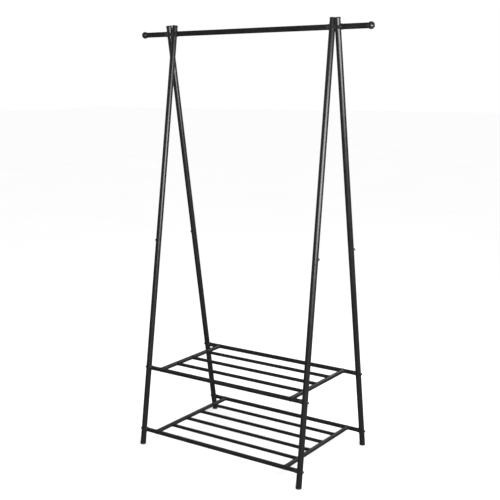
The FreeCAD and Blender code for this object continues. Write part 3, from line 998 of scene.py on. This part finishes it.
# ---------------------------------------------------------------- shelves
@dataclass
class Shelf:
    """One shelf: two rails between the legs, two cross tubes, slats, welds and fasteners."""

    name: str
    lines: dict[tuple[Side, End], LegLine]
    wardrobe: Wardrobe
    tube_wall: float = 1.0 * MM
    slat_wall: float = 0.8 * MM
    edge: float = 0.5 * MM
    screw_hole: float = 3.3 * MM
    seat_gap: float = 0.08 * MM
    bead: float = 1.15 * MM
    bead_ripple: float = 0.22 * MM
    bead_offset: float = 0.35           # of the bead's middle off the tube, over the bead's radius
    ripples: int = 17
    bead_rings: tuple[int, int] = (72, 10)
    slat_sides: int = 48
    sides: int = 56
    screw: ButtonScrew = field(default_factory=lambda: ButtonScrew(
        head=10.5 * MM, height=3.3 * MM, socket=4.0 * MM, shank=5.9 * MM, length=40.0 * MM))

    def build(self) -> None:
        """Make and dress every piece of the shelf."""
        self._rails()
        self._cross_tubes()
        self._slats()
        self._welds()
        self._spacers()
        self._screws()

    @property
    def height(self) -> float:
        """Height of the shelf's tube axes."""
        return middle_of(f"{self.name}_front_rail").z

    @property
    def radius(self) -> float:
        """Outer radius of the rails and cross tubes."""
        low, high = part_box(f"{self.name}_front_rail")
        return (high.z - low.z) / 2

    @property
    def section(self) -> TubeSection:
        """Section of the rails and cross tubes."""
        return TubeSection(self.radius, self.tube_wall, self.sides)

    @property
    def slat_radius(self) -> float:
        """Outer radius of the slats."""
        low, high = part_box(self.slats[0])
        return (high.z - low.z) / 2

    @property
    def slats(self) -> list[str]:
        """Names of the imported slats."""
        return sorted(node for node in frame["nodes"] if node.startswith(f"{self.name}_slat_"))

    def _rails(self) -> None:
        """Tubes along X between two legs."""
        for end in End:
            node = f"{self.name}_{end.name.lower()}_rail"
            straight_tube(node, self.section, self.edge, self.wardrobe.wear(POWDER_COAT))

    def _coped_tubes(self, nodes: list[str], half: float, section: TubeSection,
                     along: Vector, across: Vector) -> None:
        """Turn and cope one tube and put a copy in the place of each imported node.

        Args:
            nodes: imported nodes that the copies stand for.
            half: from a tube's middle to the axis of the tubes that it meets.
            section: section of the tubes.
            along: direction of the tubes.
            across: direction of the tubes that they meet.
        """
        radius = section.radius
        bore = radius - section.wall
        rings = [(bore, -half), (radius, -half), (radius, half), (bore, half)]
        pattern = turn("coped_pattern", rings, section.sides, hollow=True)
        settle(pattern, along_axis(Vector((0.0, 0.0, 0.0)), along))
        reach = across * self.radius * 3
        for sign in (-1.0, 1.0):
            centre = along * half * sign
            carve(pattern, bar(centre - reach, centre + reach, self.radius, self.sides))
        for node in nodes:
            tube = copied(pattern, f"{node}_tube")
            settle(tube, Matrix.Translation(middle_of(node)))
            hand_over(tube, Slot.COAT, self.wardrobe.wear(POWDER_COAT), node)
        bpy.data.objects.remove(pattern)

    def _cross_tubes(self) -> None:
        """Tubes along Y, their ends coped to the two rails."""
        front, back = (middle_of(f"{self.name}_{end.name.lower()}_rail") for end in End)
        nodes = [f"{self.name}_{side.name.lower()}_cross_tube" for side in Side]
        self._coped_tubes(nodes, (back.y - front.y) / 2, self.section, ALONG_Y, ALONG_X)

    def _slats(self) -> None:
        """Thin tubes along X, their ends coped to the two cross tubes."""
        left, right = (middle_of(f"{self.name}_{side.name.lower()}_cross_tube") for side in Side)
        section = TubeSection(self.slat_radius, self.slat_wall, self.slat_sides)
        self._coped_tubes(self.slats, (right.x - left.x) / 2, section, ALONG_X, ALONG_Y)

    def _bead(self, name: str, radius: float) -> bpy.types.Object:
        """Weld bead round a tube's coped end.

        Args:
            name: name of the bead.
            radius: radius of the tube that ends here.

        Returns:
            The bead about Z, with the other tube's axis on X and its wall towards +Z.
        """
        bpy.ops.object.select_all(action="DESELECT")
        middle = radius + self.bead * self.bead_offset
        bpy.ops.mesh.primitive_torus_add(major_segments=self.bead_rings[0], minor_segments=self.bead_rings[1],
                                         major_radius=middle, minor_radius=self.bead)
        bead = bpy.context.object
        bead.name = bead.data.name = name
        for vertex in bead.data.vertices:
            angle = math.atan2(vertex.co.y, vertex.co.x)
            fall = math.sqrt(max(self.radius ** 2 - vertex.co.y ** 2, 0.0))
            swell = 1.0 + self.bead_ripple / self.bead * math.sin(angle * self.ripples)
            core = Vector((math.cos(angle), math.sin(angle), 0.0)) * middle
            vertex.co = core + (vertex.co - core) * swell
            vertex.co.z -= fall
        return bead

    def _welds(self) -> None:
        """Beads where the slats meet the cross tubes and the cross tubes meet the rails."""
        beads = []
        slat_bead = self._bead("slat_bead_pattern", self.slat_radius)
        cross_bead = self._bead("cross_bead_pattern", self.radius)
        for side in Side:
            cross = middle_of(f"{self.name}_{side.name.lower()}_cross_tube")
            outward = Vector((float(side.value), 0.0, 0.0))
            upright = Matrix(((0.0, 0.0, outward.x), (outward.x, 0.0, 0.0), (0.0, 1.0, 0.0))).to_4x4()
            for number, node in enumerate(self.slats, 1):
                place = Vector((cross.x, middle_of(node).y, self.height))
                bead = copied(slat_bead, f"{self.name}_bead_{side.name.lower()}_{number}")
                beads.append(settle(bead, Matrix.Translation(place) @ upright))
            for end in End:
                rail = middle_of(f"{self.name}_{end.name.lower()}_rail")
                sign = float(end.value)
                across = Matrix(((-sign, 0.0, 0.0), (0.0, 0.0, sign), (0.0, 1.0, 0.0))).to_4x4()
                bead = copied(cross_bead, f"{self.name}_bead_{end.name.lower()}_{side.name.lower()}")
                place = Vector((cross.x, rail.y, self.height))
                beads.append(settle(bead, Matrix.Translation(place) @ across))
        for pattern in (slat_bead, cross_bead):
            bpy.data.objects.remove(pattern)
        hand_over(joined(f"{self.name}_welds", beads), Slot.COAT, self.wardrobe.wear(POWDER_COAT))

    def _spacers(self) -> None:
        """Saddle spacers from the rails' ends to the four legs."""
        node = f"{self.name}_spacers"
        pattern = SaddleSpacer(self.radius, self.radius - self.tube_wall, self.screw_hole)
        parts = []
        for end in End:
            low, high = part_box(f"{self.name}_{end.name.lower()}_rail")
            middle = (low + high) / 2
            for side in Side:
                tube_end = Vector((high.x if side is Side.RIGHT else low.x, middle.y, middle.z))
                line = self.lines[side, end]
                parts.append(pattern.build(f"{node}_{line.place}", tube_end, line))
        hand_over(joined(f"{node}_set", parts), Slot.SPACER, self.wardrobe.wear(SPACER_PLASTIC), node)

    def _screws(self) -> None:
        """Button-head screws through the legs into the rails."""
        node = f"{self.name}_screws"
        pattern = self.screw.build("shelf_screw_pattern")
        placed = []
        for line in self.lines.values():
            outward = Vector((float(line.side.value), 0.0, 0.0))
            seat = line.at(self.height) + outward * (LEG_RADIUS + self.seat_gap)
            copy = copied(pattern, f"{node}_{line.place}")
            placed.append(settle(copy, along_axis(seat, outward)))
        bpy.data.objects.remove(pattern)
        hand_over(joined(f"{node}_set", placed), Slot.SCREW, self.wardrobe.wear(SCREW_STEEL), node)


@dataclass
class HiddenHardware:
    """Inserts, nuts and studs inside the tubes, kept as packed and dressed in plated steel."""

    wardrobe: Wardrobe

    def dress(self) -> None:
        """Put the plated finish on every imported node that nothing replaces."""
        for name, node in frame["nodes"].items():
            if node.hide_render:
                continue
            if not node.material_slots:
                node.data.materials.append(None)
            for slot in node.material_slots:
                slot.material = self.wardrobe.wear(ZINC_STEEL)
            log.info("%s: kept as packed, %s", name, Slot.ZINC.value)


# ---------------------------------------------------------------- studio
@dataclass(frozen=True)
class Softbox:
    """Rectangular soft light."""

    name: str
    place: tuple[float, float, float]
    aim: tuple[float, float, float]
    width: float
    height: float
    radiance: float

    def hang(self) -> None:
        """Hang the light and aim it."""
        light = bpy.data.lights.new(self.name, "AREA")
        light.shape = "RECTANGLE"
        light.size = self.width
        light.size_y = self.height
        light.energy = self.radiance * self.width * self.height * 4.0
        box = bpy.data.objects.new(self.name, light)
        box.location = self.place
        box.rotation_euler = (Vector(self.aim) - Vector(self.place)).to_track_quat("-Z", "Y").to_euler()
        box.visible_camera = False
        bpy.context.scene.collection.objects.link(box)


@dataclass
class Studio:
    """Camera, pale floor and soft light."""

    camera_place: tuple[float, float, float] = (1.820, -2.589, 1.3225)
    heading: float = 35.145             # degrees that the camera is turned left of +Y
    tilt: float = -10.68                # degrees above the horizon
    roll: float = -0.52
    lens: float = 65.71                 # millimetres, on a 36 mm sensor
    floor_size: float = 60.0
    floor_tones: tuple[float, float] = (0.90, 0.93)
    sky: float = 1.0                    # seen by the camera
    sky_on_matt: float = 1.065           # that lights matt surfaces
    sky_in_gloss: float = 0.22          # seen in reflections
    sky_in_gloss_left: float = 0.07     # the same, from the -X side, where the studio is dark
    sky_turn: tuple[float, float] = (-0.7, 0.1)     # along X, from the left sky to the right
    softboxes: tuple[Softbox, ...] = (
        Softbox("key_softbox", (1.55, -0.95, 1.24), (0.0, 0.0, 1.12), 1.60, 0.80, 10.5),
        Softbox("back_softbox", (0.55, 2.10, 1.75), (0.0, 0.0, 0.25), 1.40, 0.50, 2.4),
        Softbox("left_softbox", (-2.20, -0.60, 1.50), (0.0, 0.0, 0.90), 0.70, 1.40, 1.2),
    )

    def build(self) -> None:
        """Set up the whole studio."""
        self._camera()
        self._floor()
        self._sky()
        for softbox in self.softboxes:
            softbox.hang()

    def _camera(self) -> None:
        """Place the camera."""
        data = bpy.data.cameras.new("camera")
        data.lens = self.lens
        data.sensor_width = 36.0
        data.clip_end = 200.0
        camera = bpy.data.objects.new("camera", data)
        turned = Matrix.Rotation(math.radians(self.heading), 4, "Z")
        tilted = Matrix.Rotation(math.radians(90.0 + self.tilt), 4, "X")
        rolled = Matrix.Rotation(math.radians(self.roll), 4, "Z")
        camera.matrix_world = Matrix.Translation(self.camera_place) @ turned @ tilted @ rolled
        bpy.context.scene.collection.objects.link(camera)
        bpy.context.scene.camera = camera

    def _floor(self) -> None:
        """Lay a plain pale floor."""
        bpy.ops.object.select_all(action="DESELECT")
        bpy.ops.mesh.primitive_plane_add(size=self.floor_size)
        floor = bpy.context.object
        floor.name = "studio_floor"
        floor.visible_glossy = False
        material = bpy.data.materials.new("pale_floor")
        material.use_nodes = True
        desk = NodeDesk(material.node_tree)
        shader = material.node_tree.nodes["Principled BSDF"]
        places = desk.add("ShaderNodeTexCoord").outputs["Object"]
        ramp = desk.add("ShaderNodeMapRange")
        ramp.inputs["To Min"].default_value = self.floor_tones[0]
        ramp.inputs["To Max"].default_value = self.floor_tones[1]
        desk.link(desk.noise(places, 1.4, 3.0), ramp.inputs["Value"])
        desk.link(ramp.outputs["Result"], shader.inputs["Base Color"])
        shader.inputs["Roughness"].default_value = 0.8
        shader.inputs["Specular IOR Level"].default_value = 0.0
        floor.data.materials.append(material)
        floor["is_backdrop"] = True

    def _sky(self) -> None:
        """Surround the studio with white light, dimmer in reflections and dimmest in those from the left."""
        scene = bpy.context.scene
        world = scene.world or bpy.data.worlds.new("studio")
        scene.world = world
        world.use_nodes = True
        desk = NodeDesk(world.node_tree)
        background = world.node_tree.nodes["Background"]
        background.inputs["Color"].default_value = (1.0, 1.0, 1.0, 1.0)
        split = desk.add("ShaderNodeSeparateXYZ")
        desk.link(desk.add("ShaderNodeTexCoord").outputs["Generated"], split.inputs[0])
        lit_side = desk.window(split.outputs["X"], *self.sky_turn)
        mirrored = desk.sum("MULTIPLY_ADD", lit_side, self.sky_in_gloss - self.sky_in_gloss_left)
        mirrored.node.inputs[2].default_value = self.sky_in_gloss_left
        path = desk.add("ShaderNodeLightPath").outputs
        glossy = desk.sum("MULTIPLY", path["Is Glossy Ray"], desk.sum("SUBTRACT", mirrored, self.sky_on_matt))
        direct = desk.sum("MULTIPLY", path["Is Camera Ray"], self.sky - self.sky_on_matt)
        changes = desk.sum("ADD", glossy, direct)
        desk.link(desk.sum("ADD", changes, self.sky_on_matt), background.inputs["Strength"])
        scene.view_settings.view_transform = "Standard"


def main() -> None:
    """Build the studio, then the rack from its legs to its shelves."""
    logging.basicConfig(level=logging.INFO, format="%(message)s")
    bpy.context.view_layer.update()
    wardrobe = Wardrobe()
    lines = {(side, end): LegLine(side, end) for side in Side for end in End}
    legs = [Leg(line, wardrobe) for line in lines.values()]
    Studio().build()
    for leg in legs:
        leg.build()
    JointScrews(legs, wardrobe).build()
    HangingRail(lines, wardrobe).build()
    for name in ("upper_shelf", "lower_shelf"):
        Shelf(name, lines, wardrobe).build()
    HiddenHardware(wardrobe).dress()


if __name__ == "__main__":
    main()
